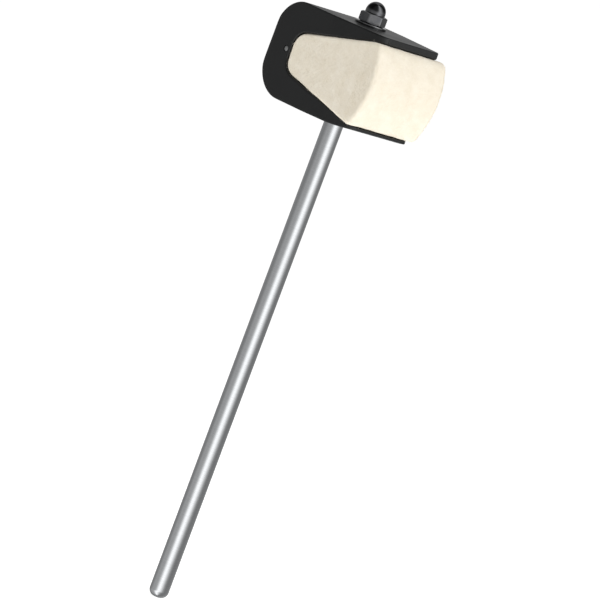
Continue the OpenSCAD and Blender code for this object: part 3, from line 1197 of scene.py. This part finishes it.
# ---------------------------------------------------------------------------------------------------------
# Studio
# ---------------------------------------------------------------------------------------------------------

@dataclass
class Studio:
    """Pale floor, soft lights, a reflection tent for the polished metal, and the camera, in metres."""

    azimuth: float = -43.5
    elevation: float = 6.8
    lean: float = 20.57
    distance: float = 2.0
    frame_width: float = 0.2376
    sensor_mm: float = 36.0
    aim_right: float = 0.0120
    aim_up: float = -0.0714
    aim_from: float = 0.20126
    lights_at: float = 0.2
    floor_half: float = 60.0
    floor_glow: float = 0.72
    sky_glow: float = 0.36
    tent_radius: float = 0.55
    tent_low: float = -0.7
    tent_high: float = 1.3
    tent_power: float = 1.5
    strip_lean: float = 139.0      # the bright strip moves round by this many degrees for each metre up
    strip_z: float = 0.0055        # and stands at its bearing at this height
    backdrop_bearing: float = 48.0
    backdrop_glow: float = 0.38
    # bearing in degrees from +X, and how bright the tent is there
    tent_stops: tuple[tuple[float, float], ...] = (
        (-180, 0.30), (-168, 0.33), (-156, 0.41), (-145, 0.67), (-134, 0.92), (-127, 1.0), (-116, 1.0),
        (-106, 0.88), (-96, 0.68), (-86, 0.50), (-74, 0.31), (-60, 0.20), (-45, 0.16), (-28, 0.17),
        (-5, 0.17), (14, 0.22), (30, 0.24), (64, 0.22), (84, 0.20), (100, 0.19), (120, 0.18),
        (140, 0.23), (156, 0.29), (180, 0.30))

    @staticmethod
    def stand(thing: bpy.types.Object, right: np.ndarray, back: np.ndarray, at: np.ndarray) -> None:
        """Places a camera or a light, which looks along its own -Z.

        Args:
            thing: what is placed.
            right: the direction of its own X.
            back: the direction away from what it looks at.
            at: where it stands, in metres.
        """
        bpy.context.scene.collection.objects.link(thing)
        place = np.eye(4)
        place[:3, 0], place[:3, 1], place[:3, 2] = right, np.cross(back, right), back
        place[:3, 3] = at
        thing.matrix_world = Matrix(place.tolist())

    def camera(self) -> None:
        """Places a long-lens camera: it looks from the azimuth and elevation and is rolled by the lean."""
        az, el, lean = (math.radians(v) for v in (self.azimuth, self.elevation, self.lean))
        back = np.array([math.sin(az) * math.cos(el), -math.cos(az) * math.cos(el), math.sin(el)])
        right = np.array([math.cos(az), math.sin(az), 0.0])
        up = np.cross(back, right)
        target = np.array([0, 0, self.aim_from]) + right * self.aim_right + up * self.aim_up
        data = bpy.data.cameras.new("camera")
        data.sensor_width = self.sensor_mm
        data.lens = self.sensor_mm * self.distance / self.frame_width
        data.clip_end = 200.0
        data.dof.use_dof = False
        camera = bpy.data.objects.new("camera", data)
        self.stand(camera, math.cos(lean) * right + math.sin(lean) * up, back, target + back * self.distance)
        bpy.context.scene.camera = camera

    def floor(self) -> None:
        """A wide pale floor that glows a little, as a light table does, so that it stays near white."""
        half, z = self.floor_half, Span("beater_shaft").low[2] * MM
        mesh = bpy.data.meshes.new("floor")
        mesh.from_pydata([(-half, -half, z), (half, -half, z), (half, half, z), (-half, half, z)], [],
                         [(0, 1, 2, 3)])
        floor = bpy.data.objects.new("floor", mesh)
        bpy.context.scene.collection.objects.link(floor)
        paint = bpy.data.materials.new("floor_paint")
        paint.use_nodes = True
        shader = paint.node_tree.nodes["Principled BSDF"]
        for key, value in {"Base Color": linear("#F2F2F1"), "Roughness": 0.9, "Specular IOR Level": 0.1,
                           "Emission Color": linear("#FFFFFF"), "Emission Strength": self.floor_glow}.items():
            shader.inputs[key].default_value = value
        mesh.materials.append(paint)
        floor.visible_glossy = False

    def tent_glow(self) -> bpy.types.Material:
        """The tent's glow: a ramp over the bearing, slid round with height, plus a pale backdrop.

        Returns:
            The material. Higher up the ramp is raised to a power, so that only the bright strip is left. The
            backdrop stands behind the head and above the rod, and lights the hood's top at a slant.
        """
        glow = bpy.data.materials.new("tent_glow")
        glow.use_nodes = True
        tree = glow.node_tree
        tree.nodes.clear()
        place = add_node(tree, "TexCoord").outputs["Object"]
        parts = add_node(tree, "SeparateXYZ", links={"Vector": place})
        bearing = add_node(tree, "Math", links={0: parts.outputs["Y"], 1: parts.outputs["X"]},
                           settings={"operation": "ARCTAN2"})
        lean, low, high = math.radians(self.strip_lean), -0.25, 0.30
        slide = add_node(tree, "MapRange", links={"Value": parts.outputs["Z"]},
                         values={"From Min": low, "From Max": high, "To Min": lean * (self.strip_z - low),
                                 "To Max": lean * (self.strip_z - high)})
        moved = add_node(tree, "Math", links={0: bearing.outputs[0], 1: slide.outputs[0]},
                         settings={"operation": "ADD"})
        turn = add_node(tree, "Math", links={0: moved.outputs[0]},
                        values={1: -math.pi, 2: math.pi}, settings={"operation": "WRAP"})
        turn = add_node(tree, "MapRange", links={"Value": turn.outputs[0]},
                        values={"From Min": -math.pi, "From Max": math.pi, "To Min": 0.0, "To Max": 1.0})
        ramp = add_node(tree, "ValToRGB", links={"Fac": turn.outputs[0]})
        scale = ramp.color_ramp
        while len(scale.elements) < len(self.tent_stops):
            scale.elements.new(0.5)
        for element, (degrees, level) in zip(scale.elements, self.tent_stops):
            element.position = (degrees + 180) / 360
            element.color = (level, level, level * 1.01, 1)
        fall = add_node(tree, "MapRange", links={"Value": parts.outputs["Z"]},
                        values={"From Min": 0.28, "From Max": 0.50, "To Min": 1.0, "To Max": 2.4})
        strip = add_node(tree, "Math", links={0: ramp.outputs["Color"], 1: fall.outputs[0]},
                         settings={"operation": "POWER"})
        strip = add_node(tree, "Math", links={0: strip.outputs[0]}, values={1: self.tent_power},
                         settings={"operation": "MULTIPLY"})
        away = add_node(tree, "Math", links={0: bearing.outputs[0]},
                        values={1: math.radians(self.backdrop_bearing)}, settings={"operation": "SUBTRACT"})
        away = add_node(tree, "Math", links={0: away.outputs[0]}, settings={"operation": "ABSOLUTE"})
        near = add_node(tree, "MapRange", links={"Value": away.outputs[0]},
                        values={"From Min": math.radians(25), "From Max": math.radians(50),
                                "To Min": self.backdrop_glow, "To Max": 0.0})
        above = add_node(tree, "MapRange", links={"Value": parts.outputs["Z"]},
                         values={"From Min": 0.24, "From Max": 0.30, "To Min": 0.0, "To Max": 1.0})
        total = add_node(tree, "Math", links={0: near.outputs[0], 1: above.outputs[0], 2: strip.outputs[0]},
                         settings={"operation": "MULTIPLY_ADD"})
        lamp = add_node(tree, "Emission", links={"Strength": total.outputs[0]})
        add_node(tree, "OutputMaterial", links={"Surface": lamp.outputs[0]})
        return glow

    def tent(self) -> None:
        """A closed drum round the head that only polished surfaces see: its glow changes round the circle."""
        radius = self.tent_radius / MM
        wall = line((radius, self.tent_low / MM), (radius, self.tent_high / MM), 2)
        tent = turned("reflection_tent", wall, Wrap.CAPS)
        tent.data.materials.append(self.tent_glow())
        for ray in ("camera", "diffuse", "transmission", "shadow", "volume_scatter"):
            setattr(tent, "visible_" + ray, False)

    def light(self, name: str, bearing: float, height: float, away: float, size: float, power: float) -> None:
        """Adds one soft square light that faces the head.

        Args:
            name: its name.
            bearing: degrees round from +X.
            height: degrees above the head.
            away: metres from the head.
            size: metres along each side.
            power: watts.
        """
        a, h = math.radians(bearing), math.radians(height)
        back = np.array([math.cos(a) * math.cos(h), math.sin(a) * math.cos(h), math.sin(h)])
        data = bpy.data.lights.new(name, "AREA")
        data.size, data.energy = size, power
        lamp = bpy.data.objects.new(name, data)
        self.stand(lamp, np.array([-math.sin(a), math.cos(a), 0.0]), back,
                   np.array([0, 0, self.lights_at]) + back * away)
        lamp.visible_camera = False
        lamp.visible_glossy = False

    def build(self) -> None:
        """Sets the world, the floor, the tent, the lights and the camera."""
        world = bpy.data.worlds.new("studio")
        bpy.context.scene.world = world
        world.use_nodes = True
        sky = world.node_tree.nodes["Background"]
        sky.inputs["Color"].default_value = linear("#FFFFFF")
        sky.inputs["Strength"].default_value = self.sky_glow
        bpy.context.scene.view_settings.view_transform = "Standard"
        self.floor()
        self.tent()
        self.light("key_light", bearing=-78, height=22, away=1.4, size=0.7, power=7.2)
        self.light("top_light", bearing=-150, height=70, away=1.3, size=0.8, power=3.6)
        self.camera()
        log.info("studio ready")


def main() -> None:
    """Builds every sub-assembly and the studio round them."""
    logging.basicConfig(level=logging.INFO, format="%(name)s: %(message)s")
    Studio().build()
    Rod().build()
    Washer("shoulder_washer", "seat_washer", "shaft", "zinc_steel", ZincPlatedSteel()).build()
    Hood().build()
    FeltWedge().build()
    HeadFittings().build()
    rubbed = BlackNickelPlate("rubbed_black_nickel_plate", dark="#7C7D7F", worn="#B4B3B0")
    Washer("top_washer", "flat_washer", "washer", "black_nickel", rubbed).build()
    CapNut().build()


if __name__ == "__main__":
    main()
